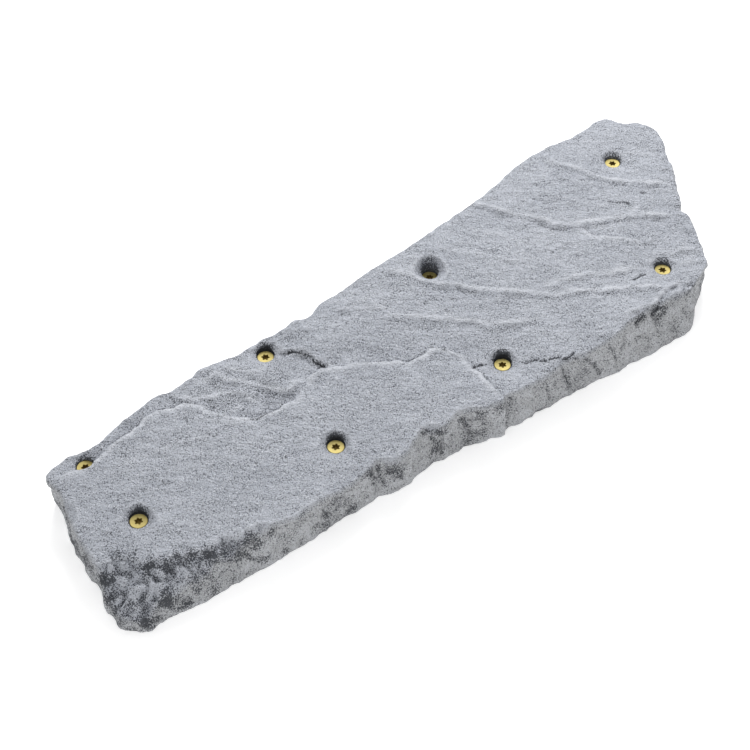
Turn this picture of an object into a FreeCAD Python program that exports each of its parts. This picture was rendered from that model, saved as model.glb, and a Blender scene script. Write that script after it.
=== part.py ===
import FreeCAD, Part
import math
import os

import Sketcher

# A cast artificial-rock climbing panel, held to a climbing wall by eight countersunk wood
# screws.  The panel lies on its flat back: the back is the plane Z = 0, +Z points out of the
# rock face, +X runs along the panel and +Y across it.  All sizes are in millimetres.

SIZES = [
    ("panel_length", 601.0),
    ("panel_width", 196.0),
    ("base_height", 27.0),
    ("left_bed_rise", 5.5),
    ("lobe_bed_rise", 6.0),
    ("middle_bed_rise", 9.0),
    ("crest_bed_rise", 12.0),
    ("front_bed_rise", 11.0),
    ("right_bed_rise", 5.0),
    ("head_sink", 2.0),
    ("head_diameter", 11.8),
    ("head_rim", 0.7),
    ("socket_core_diameter", 3.95),
    ("socket_lobe_diameter", 1.5),
    ("socket_span", 5.6),
    ("socket_depth", 2.6),
    ("shank_diameter", 4.3),
    ("screw_length", 60.0),
    ("point_length", 7.0),
    ("point_radius", 0.15),
    ("thread_diameter", 6.0),
    ("thread_length", 33.0),
    ("thread_pitch", 3.6),
    ("thread_crest_width", 0.4),
    ("thread_root_width", 1.8),
    ("ridge_sink", 0.2),
    ("pocket_gap", 0.7),
    ("seat_gap", 0.1),
    ("washer_gap", 0.05),
    ("washer_land", 1.2),
    ("hole_gap", 0.25),
]

# Plan outlines.  Every point is (share of panel_length, share of panel_width) from the
# middle of the back face, and each bed of rock lies inside the panel's own outline.
PANEL_OUTLINE = [
    # far edge, left to right
    (-0.473, 0.332), (-0.470, 0.388), (-0.453, 0.423), (-0.428, 0.444), (-0.395, 0.429),
    (-0.359, 0.449), (-0.300, 0.454), (-0.245, 0.459), (-0.212, 0.446), (-0.184, 0.436),
    (-0.137, 0.431), (-0.117, 0.429), (-0.097, 0.403), (-0.054, 0.423), (0.029, 0.429),
    (0.112, 0.434), (0.196, 0.449), (0.262, 0.469), (0.304, 0.495), (0.345, 0.500),
    (0.387, 0.485), (0.437, 0.469), (0.455, 0.480), (0.467, 0.459), (0.470, 0.408),
    # right end
    (0.493, 0.332), (0.500, 0.281), (0.478, 0.163), (0.462, 0.087), (0.412, -0.087),
    (0.395, -0.128), (0.397, -0.158), (0.382, -0.230), (0.350, -0.372),
    # near edge, right to left
    (0.325, -0.423), (0.299, -0.474), (0.279, -0.500), (0.224, -0.485), (0.212, -0.469),
    (0.196, -0.474), (0.142, -0.444), (0.079, -0.408), (0.007, -0.388), (-0.037, -0.362),
    (-0.054, -0.342), (-0.121, -0.316), (-0.146, -0.332), (-0.171, -0.306), (-0.207, -0.301),
    (-0.304, -0.281), (-0.365, -0.260), (-0.445, -0.224), (-0.483, -0.204),
    # left end
    (-0.500, -0.138), (-0.495, -0.036), (-0.487, 0.077), (-0.480, 0.179),
]
LEFT_BED = [
    (-0.468, 0.265), (-0.446, 0.357), (-0.411, 0.357), (-0.386, 0.383), (-0.336, 0.403),
    (-0.303, 0.388), (-0.278, 0.321), (-0.246, 0.173), (-0.206, 0.128), (-0.170, 0.133),
    (-0.146, 0.173), (-0.131, 0.173), (-0.078, 0.056), (-0.055, -0.031), (-0.020, -0.031),
    (0.000, -0.112), (-0.008, -0.240), (-0.010, -0.347), (-0.053, -0.316), (-0.120, -0.291),
    (-0.206, -0.276), (-0.304, -0.255), (-0.353, -0.209), (-0.366, -0.163), (-0.384, -0.199),
    (-0.421, -0.112), (-0.454, -0.071), (-0.479, 0.051), (-0.473, 0.179),
]
LOBE_BED = [
    (-0.200, 0.434), (-0.206, 0.327), (-0.186, 0.255), (-0.166, 0.204), (-0.140, 0.184),
    (-0.126, 0.204), (-0.133, 0.265), (-0.140, 0.316), (-0.135, 0.425),
]
MIDDLE_BED = [
    (-0.124, 0.415), (-0.126, 0.306), (-0.116, 0.230), (-0.100, 0.153), (-0.078, 0.066),
    (-0.055, -0.015), (-0.020, -0.015), (0.005, -0.102), (-0.002, -0.240), (0.000, -0.367),
    (0.078, -0.388), (0.141, -0.423), (0.196, -0.454), (0.250, -0.474), (0.186, -0.204),
    (0.200, -0.102), (0.250, 0.153), (0.206, 0.429), (0.112, 0.418), (0.029, 0.413),
    (-0.054, 0.408), (-0.097, 0.388),
]
CREST_BED = [
    (0.037, 0.408), (0.045, 0.230), (0.097, 0.153), (0.141, 0.204), (0.125, 0.413),
]
FRONT_BED = [
    (0.100, -0.385), (0.208, -0.452), (0.225, -0.472), (0.276, -0.484), (0.293, -0.449),
    (0.280, -0.306), (0.196, -0.179), (0.116, -0.281),
]
RIGHT_BED = [
    (0.160, 0.400), (0.150, 0.153), (0.150, -0.050), (0.240, -0.290), (0.262, -0.430),
    (0.308, -0.430), (0.341, -0.362), (0.373, -0.235), (0.386, -0.163), (0.399, -0.071),
    (0.453, 0.087), (0.489, 0.281), (0.461, 0.388), (0.455, 0.459), (0.386, 0.464),
    (0.300, 0.474), (0.216, 0.444), (0.195, 0.415),
]
# bed of rock: its outline and how far it stands above the base
BEDS = [
    ("left_bed", LEFT_BED, "left_bed_rise"),
    ("lobe_bed", LOBE_BED, "lobe_bed_rise"),
    ("middle_bed", MIDDLE_BED, "middle_bed_rise"),
    ("crest_bed", CREST_BED, "crest_bed_rise"),
    ("front_bed", FRONT_BED, "front_bed_rise"),
    ("right_bed", RIGHT_BED, "right_bed_rise"),
]
# Screw places as shares of length and width, and the way each head's star is turned, degrees.
SCREWS = [
    (-0.418, 0.082, 8.0),
    (-0.418, 0.390, 25.0),
    (-0.191, -0.114, 40.0),
    (-0.162, 0.380, 15.0),
    (0.078, 0.286, 33.0),
    (0.039, -0.226, 52.0),
    (0.415, 0.274, 20.0),
    (0.305, -0.287, 5.0),
]
SOCKET_LOBES = 6
# A sketch is first drawn with its corners round a small circle, and its ties then move them.
START_RADIUS = 10.0

# Values worked out from the driving sizes, as expressions on the sheet.
HEAD_RADIUS = "Sizes.head_diameter / 2"
SHANK_RADIUS = "Sizes.shank_diameter / 2"
THREAD_RADIUS = "Sizes.thread_diameter / 2"
HOLE_RADIUS = "(Sizes.thread_diameter / 2 + Sizes.hole_gap)"
POCKET_RADIUS = "(Sizes.head_diameter / 2 + Sizes.pocket_gap)"
WASHER_RADIUS = "(Sizes.head_diameter / 2 + Sizes.pocket_gap - Sizes.washer_gap)"
SEAT_RADIUS = "(Sizes.head_diameter / 2 + Sizes.seat_gap)"
HEAD_TOP = "(Sizes.base_height - Sizes.head_sink)"
SEAT_LEVEL = "(%s - Sizes.head_rim)" % HEAD_TOP
CONE_FOOT = "(%s - (Sizes.head_diameter - Sizes.shank_diameter) / 2)" % SEAT_LEVEL
SEAT_FOOT = "(%s - (%s - %s))" % (SEAT_LEVEL, SEAT_RADIUS, HOLE_RADIUS)
WASHER_FOOT = "(%s - Sizes.washer_land)" % SEAT_FOOT
POINT_LEVEL = "(%s - Sizes.screw_length)" % HEAD_TOP
POINT_TOP = "(%s + Sizes.point_length)" % POINT_LEVEL
POINT_RADIUS = "Sizes.point_radius"
RIDGE_ROOT = "(Sizes.shank_diameter / 2 - Sizes.ridge_sink)"
FIRST_RIDGE = "(%s + Sizes.thread_root_width / 2)" % POINT_TOP
THREAD_RUN = "(Sizes.thread_length - Sizes.point_length - Sizes.thread_root_width)"
RIDGE_COUNT = "floor(%s / Sizes.thread_pitch) + 1" % THREAD_RUN


def make_sheet(doc):
    """The driving dimensions, one named cell each."""
    sheet = doc.addObject("Spreadsheet::Sheet", "Sizes")
    for row, (name, value) in enumerate(SIZES, start=1):
        cell = "A%d" % row
        sheet.set(cell, str(value))
        sheet.setAlias(cell, name)
    doc.recompute()
    return sheet


def origin_plane(body, role):
    """One of the body's own three origin planes."""
    planes = [item for item in body.Origin.OriginFeatures if item.Role == role]
    return planes[0]


def new_sketch(body, name, role, level=None):
    """An empty sketch on an origin plane of its body, raised by an expression if one is given."""
    sketch = body.newObject("Sketcher::SketchObject", name)
    sketch.AttachmentSupport = (origin_plane(body, role), [""])
    sketch.MapMode = "FlatFace"
    if level:
        sketch.setExpression("AttachmentOffset.Base.z", level)
    return sketch


def place_point(sketch, edge, position, across, up):
    """Tie one point of an edge to expressions for its two sketch coordinates."""
    point = sketch.getPoint(edge, position)
    for kind, start, expression in (("DistanceX", point.x, across), ("DistanceY", point.y, up)):
        if expression == "0":
            axis = -2 if kind == "DistanceX" else -1
            sketch.addConstraint(Sketcher.Constraint("PointOnObject", edge, position, axis))
            continue
        tie = sketch.addConstraint(
            Sketcher.Constraint(kind, -1, 1, edge, position, start)
        )
        sketch.setExpression("Constraints[%d]" % tie, expression)


def closed_outline(sketch, corners):
    """Straight edges through the corners, each corner a pair of expressions."""
    count = len(corners)
    ring = []
    for index in range(count):
        angle = 2.0 * math.pi * index / count
        ring.append(FreeCAD.Vector(
            START_RADIUS * math.cos(angle), START_RADIUS * math.sin(angle), 0.0))
    for index in range(count):
        following = (index + 1) % count
        sketch.addGeometry(Part.LineSegment(ring[index], ring[following]), False)
    for index in range(count):
        following = (index + 1) % count
        sketch.addConstraint(Sketcher.Constraint("Coincident", index, 2, following, 1))
    for index, (across, up) in enumerate(corners):
        place_point(sketch, index, 1, across, up)


def along(share):
    return "Sizes.panel_length * %.3f" % share


def across(share):
    return "Sizes.panel_width * %.3f" % share


def plan_corners(shares):
    return [(along(x), across(y)) for x, y in shares]


def circle(sketch, radius, centre_across="0", centre_up="0"):
    """A circle whose centre and radius are expressions."""
    upwards = FreeCAD.Vector(0.0, 0.0, 1.0)
    start = FreeCAD.Vector(START_RADIUS, START_RADIUS, 0.0)
    edge = sketch.addGeometry(Part.Circle(start, upwards, START_RADIUS), False)
    place_point(sketch, edge, 3, centre_across, centre_up)
    tie = sketch.addConstraint(Sketcher.Constraint("Radius", edge, START_RADIUS))
    sketch.setExpression("Constraints[%d]" % tie, radius)


def pad(body, name, sketch, length):
    feature = body.newObject("PartDesign::Pad", name)
    feature.Profile = sketch
    feature.setExpression("Length", length)
    return feature


def pocket_up(body, name, sketch):
    """Cut from the sketch upwards through everything above it."""
    feature = body.newObject("PartDesign::Pocket", name)
    feature.Profile = sketch
    feature.Type = "ThroughAll"
    feature.Reversed = True
    return feature


def pocket_down(body, name, sketch, depth):
    """Cut from the sketch downwards by a depth."""
    feature = body.newObject("PartDesign::Pocket", name)
    feature.Profile = sketch
    feature.Type = "Length"
    feature.Reversed = False
    feature.setExpression("Length", depth)
    return feature


def turned(body, name, corners):
    """A solid turned about the body's own Z axis from (radius, height) corners."""
    sketch = new_sketch(body, name + "_profile", "XZ_Plane")
    closed_outline(sketch, corners)
    feature = body.newObject("PartDesign::Revolution", name)
    feature.Profile = sketch
    feature.ReferenceAxis = (sketch, ["V_Axis"])
    feature.Angle = 360.0
    return feature


def new_body(doc, label):
    body = doc.addObject("PartDesign::Body", label)
    body.Label = label
    return body


def make_panel(doc):
    """The rock casting: a flat-backed base, raised beds of rock, and eight stepped screw holes."""
    body = new_body(doc, "rock_panel")
    outline = new_sketch(body, "panel_outline", "XY_Plane")
    closed_outline(outline, plan_corners(PANEL_OUTLINE))
    pad(body, "base", outline, "Sizes.base_height")
    for name, shares, rise in BEDS:
        sketch = new_sketch(body, name + "_outline", "XY_Plane", "Sizes.base_height")
        closed_outline(sketch, plan_corners(shares))
        pad(body, name, sketch, "Sizes." + rise)
    doc.recompute()

    pockets = new_sketch(body, "pocket_circles", "XY_Plane", WASHER_FOOT)
    holes = new_sketch(body, "hole_circles", "XY_Plane")
    for x_share, y_share, _turn in SCREWS:
        circle(pockets, POCKET_RADIUS, along(x_share), across(y_share))
        circle(holes, HOLE_RADIUS, along(x_share), across(y_share))
    pocket_up(body, "screw_pockets", pockets)
    doc.recompute()
    body.Tip = pocket_up(body, "screw_holes", holes)
    return body


def stand_at_screw(body, x_share, y_share, turn=0.0):
    """Put a piece on one screw's axis, turned about it."""
    body.Placement = FreeCAD.Placement(
        FreeCAD.Vector(0.0, 0.0, 0.0),
        FreeCAD.Rotation(FreeCAD.Vector(0.0, 0.0, 1.0), turn),
    )
    body.setExpression("Placement.Base.x", along(x_share))
    body.setExpression("Placement.Base.y", across(y_share))


def make_washer(doc, number, x_share, y_share):
    """A countersunk seat washer at the bottom of one pocket."""
    body = new_body(doc, "seat_washer_%d" % number)
    turned(body, "washer_ring_%d" % number, [
        (HOLE_RADIUS, WASHER_FOOT),
        (WASHER_RADIUS, WASHER_FOOT),
        (WASHER_RADIUS, SEAT_LEVEL),
        (SEAT_RADIUS, SEAT_LEVEL),
        (HOLE_RADIUS, SEAT_FOOT),
    ])
    stand_at_screw(body, x_share, y_share)
    return body


def make_screw(doc, number, x_share, y_share, turn):
    """A countersunk wood screw: head, plain shank, ridged thread, point and star socket."""
    body = new_body(doc, "screw_%d" % number)
    turned(body, "screw_core_%d" % number, [
        ("0", POINT_LEVEL),
        (POINT_RADIUS, POINT_LEVEL),
        (SHANK_RADIUS, POINT_TOP),
        (SHANK_RADIUS, CONE_FOOT),
        (HEAD_RADIUS, SEAT_LEVEL),
        (HEAD_RADIUS, HEAD_TOP),
        ("0", HEAD_TOP),
    ])
    ridge = turned(body, "thread_ridge_%d" % number, [
        (RIDGE_ROOT, FIRST_RIDGE + " - Sizes.thread_root_width / 2"),
        (THREAD_RADIUS, FIRST_RIDGE + " - Sizes.thread_crest_width / 2"),
        (THREAD_RADIUS, FIRST_RIDGE + " + Sizes.thread_crest_width / 2"),
        (RIDGE_ROOT, FIRST_RIDGE + " + Sizes.thread_root_width / 2"),
    ])
    doc.recompute()
    ridges = body.newObject("PartDesign::LinearPattern", "thread_%d" % number)
    ridges.Originals = [ridge]
    ridges.Direction = (origin_plane(body, "Z_Axis"), [""])
    ridges.Mode = "Spacing"
    ridges.setExpression("Offset", "Sizes.thread_pitch")
    ridges.setExpression("Occurrences", RIDGE_COUNT)
    body.Tip = ridges
    doc.recompute()

    core = new_sketch(body, "socket_core_%d" % number, "XY_Plane", HEAD_TOP)
    circle(core, "Sizes.socket_core_diameter / 2")
    pocket_down(body, "socket_%d" % number, core, "Sizes.socket_depth")
    lobe = new_sketch(body, "socket_lobe_%d" % number, "XY_Plane", HEAD_TOP)
    reach = "(Sizes.socket_span - Sizes.socket_lobe_diameter) / 2"
    circle(lobe, "Sizes.socket_lobe_diameter / 2", reach, "0")
    lobe_cut = pocket_down(body, "lobe_cut_%d" % number, lobe, "Sizes.socket_depth")
    doc.recompute()
    lobes = body.newObject("PartDesign::PolarPattern", "lobes_%d" % number)
    lobes.Originals = [lobe_cut]
    lobes.Axis = (origin_plane(body, "Z_Axis"), [""])
    lobes.Angle = 360.0
    lobes.Occurrences = SOCKET_LOBES
    body.Tip = lobes
    stand_at_screw(body, x_share, y_share, turn)
    return body


def check_document(doc, bodies):
    """Stop if any object failed or any piece isn't one valid solid."""
    for item in doc.Objects:
        if "Invalid" in item.State or "Error" in item.State:
            raise RuntimeError("%s is not valid: %s" % (item.Label, item.State))
    for body in bodies:
        shape = body.Shape
        if shape.isNull() or not shape.isValid() or len(shape.Solids) != 1:
            raise RuntimeError("%s is not one valid solid" % body.Label)


def main():
    doc = FreeCAD.newDocument("RockPanel")
    make_sheet(doc)
    bodies = [make_panel(doc)]
    for number, (x_share, y_share, turn) in enumerate(SCREWS, start=1):
        bodies.append(make_washer(doc, number, x_share, y_share))
        bodies.append(make_screw(doc, number, x_share, y_share, turn))
    doc.recompute()
    check_document(doc, bodies)

    os.makedirs("parts", exist_ok=True)
    for body in bodies:
        body.Shape.exportStep(os.path.join("parts", body.Label + ".step"))
        box = body.Shape.BoundBox
        print("%-16s %10.1f mm3   z %7.2f to %6.2f" % (
            body.Label, body.Shape.Volume, box.ZMin, box.ZMax))


main()
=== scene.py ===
import math

import bpy
import numpy as np
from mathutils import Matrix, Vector


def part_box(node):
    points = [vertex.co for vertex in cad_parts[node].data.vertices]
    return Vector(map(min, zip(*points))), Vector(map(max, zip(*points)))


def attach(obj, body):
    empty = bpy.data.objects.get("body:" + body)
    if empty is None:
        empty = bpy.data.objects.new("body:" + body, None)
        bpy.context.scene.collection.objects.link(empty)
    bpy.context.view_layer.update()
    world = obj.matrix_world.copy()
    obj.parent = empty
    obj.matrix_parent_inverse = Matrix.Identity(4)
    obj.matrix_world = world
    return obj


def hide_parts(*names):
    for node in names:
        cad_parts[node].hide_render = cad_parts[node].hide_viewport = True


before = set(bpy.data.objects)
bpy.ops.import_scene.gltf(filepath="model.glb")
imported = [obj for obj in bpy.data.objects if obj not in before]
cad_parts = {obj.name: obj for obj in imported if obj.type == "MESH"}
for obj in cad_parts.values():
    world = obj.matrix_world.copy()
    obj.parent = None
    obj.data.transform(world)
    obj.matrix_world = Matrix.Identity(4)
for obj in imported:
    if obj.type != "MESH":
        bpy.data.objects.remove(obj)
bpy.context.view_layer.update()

bl_info = {
    "name": "Rock Climbing Panel",
    "version": (1, 0, 0),
    "blender": (4, 5, 0),
    "location": "View3D > Sidebar > Rock Panel",
    "description": "Builds the look of a screw-on artificial-rock climbing panel",
    "category": "Object",
}

MM = 0.001
SCREW_COUNT = 8
PANEL_LOW, PANEL_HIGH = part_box("rock_panel")
# The plan lists below are in millimetres on a panel of this size, and are stretched to fit
# the frame's own panel.
PLAN_SIZE = (601.0, 196.0)
STRETCH = (
    (PANEL_HIGH.x - PANEL_LOW.x) / (PLAN_SIZE[0] * MM),
    (PANEL_HIGH.y - PANEL_LOW.y) / (PLAN_SIZE[1] * MM),
)

# ---------------------------------------------------------------------------------------
# Plan of the panel: its broken outline in four sides, which meet at the corners
# ---------------------------------------------------------------------------------------
NEAR_SIDE = [
    (-292, -40), (-287, -42), (-277, -42), (-267, -44), (-257, -46), (-247, -48), (-232, -49),
    (-222, -51), (-206, -53), (-190, -54), (-157, -57), (-134, -58), (-117, -59), (-106, -60),
    (-95, -64), (-90, -65), (-84, -65), (-77, -63), (-68, -63), (-48, -66), (-36, -67),
    (-24, -71), (-13, -74), (-8, -76), (-5.6, -76.6), (-4.2, -74), (0, -74.6), (11, -77),
    (24, -79), (36, -81), (56, -82), (69, -85), (82, -86), (94, -90), (108, -91), (121, -93),
    (134, -95), (147, -97), (161, -98), (169, -98), (177, -96), (184, -92), (191, -87),
    (198, -82), (207, -79),
]
RIGHT_END = [
    (207, -79), (213, -75), (223, -62), (231, -50), (235, -43), (239, -37), (242, -30),
    (243, -24), (249, -19), (265, 0), (277, 12), (286, 26), (296, 39), (300, 46), (303, 54),
]
FAR_SIDE = [
    (-275, 82), (-269, 87), (-262, 89), (-255, 90), (-248, 88), (-240, 86), (-230, 87),
    (-222, 90), (-213, 92), (-195, 92), (-180, 94), (-170, 93), (-158, 93), (-151, 92),
    (-144, 93), (-130, 92), (-121, 89), (-116, 87), (-103, 88), (-90, 87), (-80, 85),
    (-72, 84), (-64, 84), (-59, 81), (-54, 79), (-48, 80), (-37, 83), (-20, 82), (9, 83),
    (33, 84), (50, 83), (70, 85), (97, 87), (123, 89), (151, 92), (166, 95), (180, 97),
    (195, 99), (209, 100), (236, 97), (250, 96), (264, 95), (272, 97), (280, 96), (285, 93),
    (287, 88), (288, 83), (291, 78), (299, 73), (301, 66), (303, 60), (303, 54),
]
LEFT_END = [
    (-292, -40), (-295, -36), (-299, -33), (-301, -28), (-301, -23), (-299, -11), (-296, -4),
    (-294, 7), (-293, 19), (-290, 32), (-287, 42), (-285, 50), (-281, 60), (-278, 69),
    (-276, 76), (-275, 82),
]
# How far the rim stands in from the foot of the wall: round most of the panel, at least, and
# along the near side as x, inset.
USUAL_INSET = 0.9
LEAST_INSET = 0.4
NEAR_INSET = [
    (-292, 2.0), (-214, 6.0), (-206, 8.0), (-193, 4.5), (-178, 0.8), (-166, 2.0), (-150, 2.0),
    (-139, 0.4), (-128, 1.0), (-114, 2.5), (-106, 6.5), (-99, 2.0), (-93, 0.6), (-84, 2.0),
    (-76, 3.0), (-66, 8.0), (-58, 3.5), (-51, 0.8), (-45, 3.0), (-38, 6.0), (-30, 4.0),
    (-20, 0.6), (-10, 1.0), (-4, 2.6), (28, 2.2), (50, 3.5), (66, 1.6), (85, 2.0),
    (104, 6.0), (120, 11.0), (136, 12.5), (158, 12.0), (174, 11.0), (184, 6.0), (196, 1.5),
    (206, 0.8),
]
# The rim hangs out over the foot round the far-left corner: the corner's place, how far the
# rim hangs, and how quickly that fades.
HANGING_CORNER = (-266.0, 79.0)
HANG = 4.0
HANG_FADE = 8.0

# ---------------------------------------------------------------------------------------
# Relief of the face, millimetres
# ---------------------------------------------------------------------------------------
# Levels of the worn face between its ledges: x, y, height above the back.
LEVELS = [
    (-287, 63, 30.5), (-294, 3, 29.0), (-251, 16, 29.8), (-272, 43, 31.0), (-182, 43, 32.3),
    (-115, -22, 30.4), (-182, -37, 32.0), (-32, -37, 34.5), (-12, -57, 34.5), (-222, 68, 31.8),
    (-240, -10, 31.5), (-72, 5, 33.5), (-100, 15, 33.0), (-130, 60, 31.0), (-97, 75, 30.4),
    (-110, 45, 32.0), (-52, 63, 36.0), (-2, 63, 37.0), (47, 56, 38.0), (27, 3, 36.0),
    (23, -44, 31.2), (67, -57, 35.5), (87, 33, 37.0), (117, 83, 35.0), (117, -77, 36.5),
    (152, -82, 36.0), (183, -56, 29.0), (207, -65, 30.5), (237, -22, 31.0), (222, 3, 32.0),
    (249, 54, 29.0), (288, 53, 31.0), (268, 88, 31.5), (167, 63, 34.5), (207, 63, 33.5),
    (182, 3, 33.5), (150, -30, 34.0),
]
# Levels blend over about the square root of this, in millimetres.
LEVEL_BLEND = 260.0
# A ledge: which side of its line stands high (+1 left of its run, -1 right), the lip and the
# drop in height, how far each dies away, the width of its face, and its line.
LEDGES = {
    "main_edge": (-1, 0.9, 3.6, 22.0, 4.5, [
        (-277, 79), (-266, 75), (-259, 72), (-250, 70), (-241, 72), (-232, 74), (-217, 76),
        (-202, 78), (-188, 78), (-176, 74), (-169, 67), (-161, 55), (-154, 41), (-146, 31),
        (-138, 27), (-124, 24), (-112, 23), (-104, 26), (-99, 30)]),
    "tongue_edge": (-1, 1.0, 2.2, 16.0, 3.6, [
        (-104, 26), (-88, 33), (-79, 34), (-69, 25), (-47, 11), (-32, -5), (-12, -6), (-2, -14),
        (2, -22), (-1, -33), (-3, -47), (-5, -60), (-7, -76)]),
    "scallop_one": (1, 0.65, 0.65, 10.0, 3.4, [
        (-171, 90), (-169, 81), (-164, 74), (-152, 67), (-142, 62), (-136, 54), (-131, 44),
        (-128, 37)]),
    "scallop_two": (1, 0.86, 0.86, 11.0, 3.6, [
        (-155, 88), (-146, 80), (-138, 80), (-132, 69), (-123, 56), (-118, 45), (-112, 36),
        (-102, 35), (-91, 32), (-80, 35), (-72, 34)]),
    "scallop_three": (1, 0.72, 0.72, 10.0, 3.6, [
        (-133, 87), (-128, 80), (-122, 71), (-115, 64), (-108, 58)]),
    "crack_step": (1, 1.6, 1.8, 26.0, 3.0, [
        (-98, 79), (-90, 72), (-88, 64), (-84, 60), (-79, 51), (-79, 44), (-73, 34), (-66, 28)]),
    "bed_a": (1, 0.94, 0.86, 18.0, 6.0, [
        (18, 80), (24, 65), (35, 44), (48, 25), (62, 9), (79, -9), (91, -23), (110, -36),
        (128, -48), (152, -66), (166, -80)]),
    "bed_a_upper": (1, 0.65, 0.65, 10.0, 4.0, [
        (88, -12), (101, -17), (118, -22), (130, -28), (143, -38), (160, -44), (174, -52)]),
    "bed_b": (1, 0.65, 0.65, 14.0, 5.0, [
        (-22, 46), (-12, 38), (5, 20), (22, 4), (37, -14), (58, -29), (72, -40)]),
    "bed_c": (1, 0.94, 1.01, 18.0, 5.0, [
        (120, 94), (131, 67), (143, 46), (157, 22), (166, 16), (181, 9), (202, -3), (219, -15),
        (236, -28)]),
    "bed_c_bench": (-1, 0.86, 0.65, 9.0, 3.0, [
        (164, 19), (164, 6), (167, -5), (176, -16), (185, -26), (189, -38)]),
    "bed_c_inner": (1, 0.29, 0.43, 8.0, 2.0, [(165, 18), (176, 4), (186, -7), (198, -17)]),
    "bed_d": (1, 0.72, 0.79, 14.0, 5.0, [
        (200, 92), (206, 79), (215, 62), (218, 46), (229, 32), (240, 19), (252, 8), (262, -2)]),
    "bed_d_lower": (1, 0.29, 0.58, 8.0, 1.6, [(229, 16), (236, 10), (246, 3), (257, -9)]),
    "bed_d_rib": (-1, 0.72, 0.58, 9.0, 3.4, [(200, -3), (206, -1), (215, 0), (229, 5)]),
    "bed_e": (1, 0.43, 0.58, 12.0, 2.2, [(258, 56), (264, 49), (271, 41), (280, 26)]),
    "bed_f": (1, 0.43, 0.58, 10.0, 2.2, [(182, -40), (192, -46), (202, -54), (220, -62)]),
    "bed_f_lower": (1, 0.43, 0.58, 9.0, 2.0, [(172, -53), (184, -59), (198, -67), (213, -72)]),
    "bed_g": (1, 0.36, 0.5, 14.0, 2.4, [(93, 76), (101, 63), (110, 50), (116, 31), (128, 19)]),
    "bed_h": (1, 0.29, 0.43, 12.0, 2.4, [(-40, 74), (-28, 60), (-14, 52), (2, 34)]),
    "bed_i": (1, 0.29, 0.43, 12.0, 2.4, [(60, 70), (70, 55), (84, 40), (92, 22), (104, 10)]),
    "swell_one": (1, 0.25, 0.36, 12.0, 3.0, [(-245, 58), (-215, 52), (-190, 44), (-168, 30)]),
    "swell_two": (1, 0.25, 0.36, 12.0, 3.0, [(-176, 62), (-160, 40), (-146, 22), (-128, 10)]),
    "near_lip": (1, 1.3, 1.4, 8.0, 1.4, [
        (112, -79), (122, -77), (132, -79), (136, -82), (144, -82), (150, -78), (160, -77),
        (172, -78), (184, -79)]),
    "near_chip": (1, 0.36, 0.86, 9.0, 2.0, [
        (-213, -42), (-193, -49), (-177, -54), (-158, -52), (-147, -54)]),
}
# A ledge fades away over this at each end, its painted shade at the foot and its pale lip
# (wear plus painted highlight) are at full strength from this height of step, and the pale
# band stands this far back and is this wide.
LEDGE_TAPER = 16.0
FULL_STEP = 1.5
PALE_BAND_BACK = 0.6
PALE_BAND_WIDTH = 1.9
# A crack: its depth, half-width, and its line.
CRACKS = [
    (2.6, 0.9, [(-92, 70), (-88, 63), (-84, 60), (-79, 51), (-79, 43), (-73, 33)]),
    (1.6, 0.8, [(-2, -39), (0, -36), (4, -35), (12, -41)]),
    (1.6, 0.6, [(29, -53), (34, -60), (42, -67), (53, -73)]),
    (1.1, 0.6, [(48, -75), (52, -75), (56, -77), (64, -78)]),
    (2.0, 0.9, [(136, -84), (143, -84), (148, -82)]),
    (1.4, 0.9, [(119, -82), (125, -83), (131, -82)]),
    (1.4, 0.7, [(231, 12), (239, 9)]),
    (1.0, 0.8, [(148, -51), (156, -53), (166, -53)]),
    (1.5, 0.7, [(-148, 33), (-142, 28), (-137, 27), (-128, 26)]),
    (0.9, 0.6, [(204, 21), (211, 12), (214, 4)]),
    (1.2, 0.6, [(-12, -3), (-6, -10), (-2, -16)]),
]
# Cracks down the near wall: depth, half-width, and a line of x and height.
WALL_CRACKS = [
    (1.2, 0.7, [(-7, 34), (-5, 20), (-3, 0)]),
    (1.4, 1.3, [(62, 36), (70, 27), (76, 19), (84, 6)]),
    (1.0, 1.0, [(47, 33), (50, 26), (55, 11), (56, 3)]),
    (0.8, 1.0, [(30, 32), (34, 20), (36, 6)]),
    (0.8, 1.0, [(88, 33), (94, 20), (98, 8)]),
    (1.4, 0.9, [(152, 31), (145, 25), (138, 18)]),
    (3.2, 1.3, [(134, 28), (142, 29), (150, 30)]),
    (2.8, 1.2, [(116, 30), (123, 31), (131, 31)]),
    (1.4, 1.2, [(-218, 27), (-213, 16), (-206, 8)]),
    (1.6, 1.4, [(-62, 26), (-56, 12), (-54, 4)]),
    (1.6, 1.4, [(-36, 30), (-33, 18), (-28, 6)]),
    (1.2, 1.2, [(-108, 30), (-106, 16), (-103, 6)]),
    (1.0, 1.2, [(-156, 24), (-152, 12), (-150, 3)]),
]
# A block of the near wall stands this far proud of the next, from this x to the left.
BLOCK_EDGE = -5.0
BLOCK_PROUD = 1.6
# The broken near-left corner falls away beyond this line: the height at the line, the slope
# and the small step down from it, the floor, and the height of the crags on the slope.
CORNER_LINE = [
    (-300, 6), (-284, 1), (-276, -5), (-271, -18), (-262, -23), (-251, -26), (-244, -33),
    (-232, -38), (-222, -35), (-213, -43), (-202, -47), (-190, -56),
]
CORNER_TOP = 30.0
CORNER_SLOPE = 0.66
CORNER_STEP = 2.0
CORNER_FLOOR = 10.0
CORNER_CRAGS = 6.6
# Roughness that runs with the beds: height, stretch along them, cell, seed.
BED_ROUGHNESS = [(0.50, 3.0, 9.0, 81), (0.34, 1.8, 3.8, 91)]
# Plain roughness: height, cell, seed.
ROUGHNESS = [(0.55, 24.0, 95), (0.30, 11.0, 96), (0.28, 4.2, 97)]
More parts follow.
